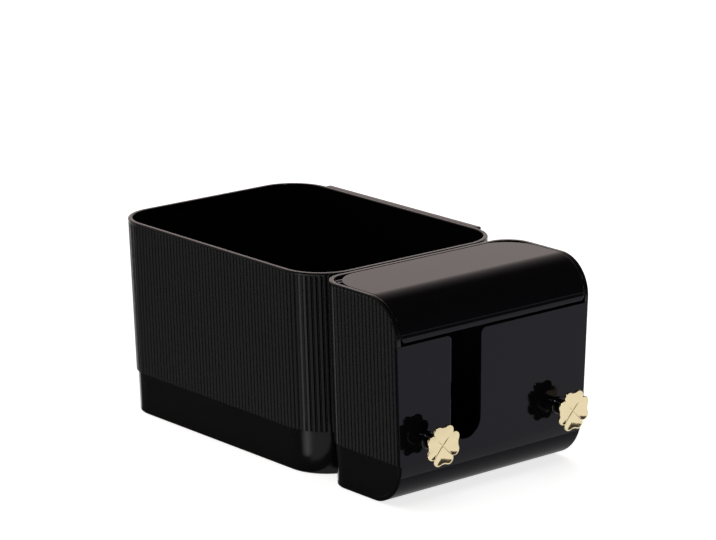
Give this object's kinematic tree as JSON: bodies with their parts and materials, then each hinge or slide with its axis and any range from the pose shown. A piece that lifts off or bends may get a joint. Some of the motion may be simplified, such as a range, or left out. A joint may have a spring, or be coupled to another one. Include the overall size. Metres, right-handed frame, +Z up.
{
  "type": "brush holder with drawer",
  "caption": "Ribbed brush bin with a pull-out front unit that has a hinged lid, a pad slot and clover knobs",
  "frame": {"origin": "on the plane the object stands on, under the middle of the brush bin", "axes": "+Z up, -Y towards the knob side, +X to the right when facing the knobs"},
  "size_m": [0.1512, 0.2752, 0.1205],
  "materials": {
    "black_gloss": "gloss",
    "black_ribbed": "satin ribs",
    "black_inner": "satin",
    "gold": "mirror",
    "dark_post": "gloss",
    "steel": "satin",
    "rubber": "matt"
  },
  "bodies": {
    "holder": {"bin_shell": "black_ribbed", "back_rail": "black_gloss", "guide_left": "black_inner", "guide_right": "black_inner", "bin_deck": "black_inner", "stop_bar": "black_inner", "tube_rack": "black_inner", "brush_divider": "black_inner"},
    "drawer": {"front_tub": "black_ribbed", "front_panel": "black_gloss", "bay_divider_left": "black_inner", "bay_divider_right": "black_inner", "clover_left": "gold", "clover_right": "gold", "post_left": "dark_post", "post_right": "dark_post", "knob_screws": "steel", "drawer_tray": "black_inner", "tray_screws": "steel", "drawer_bumpers": "rubber"},
    "lid": {"lid": "black_gloss", "hinge_pin_left": "steel", "hinge_pin_right": "steel"}
  },
  "joints": [
    {"name": "drawer_slide", "type": "slide", "parent": "holder", "child": "drawer", "axis": [0, -1, 0], "range_m": [0, 0.14]},
    {"name": "lid_hinge", "type": "hinge", "parent": "drawer", "child": "lid", "pos_m": [0, -0.1053, 0.1184], "axis": [-1, 0, 0], "range_deg": [0, 100]}
  ]
}
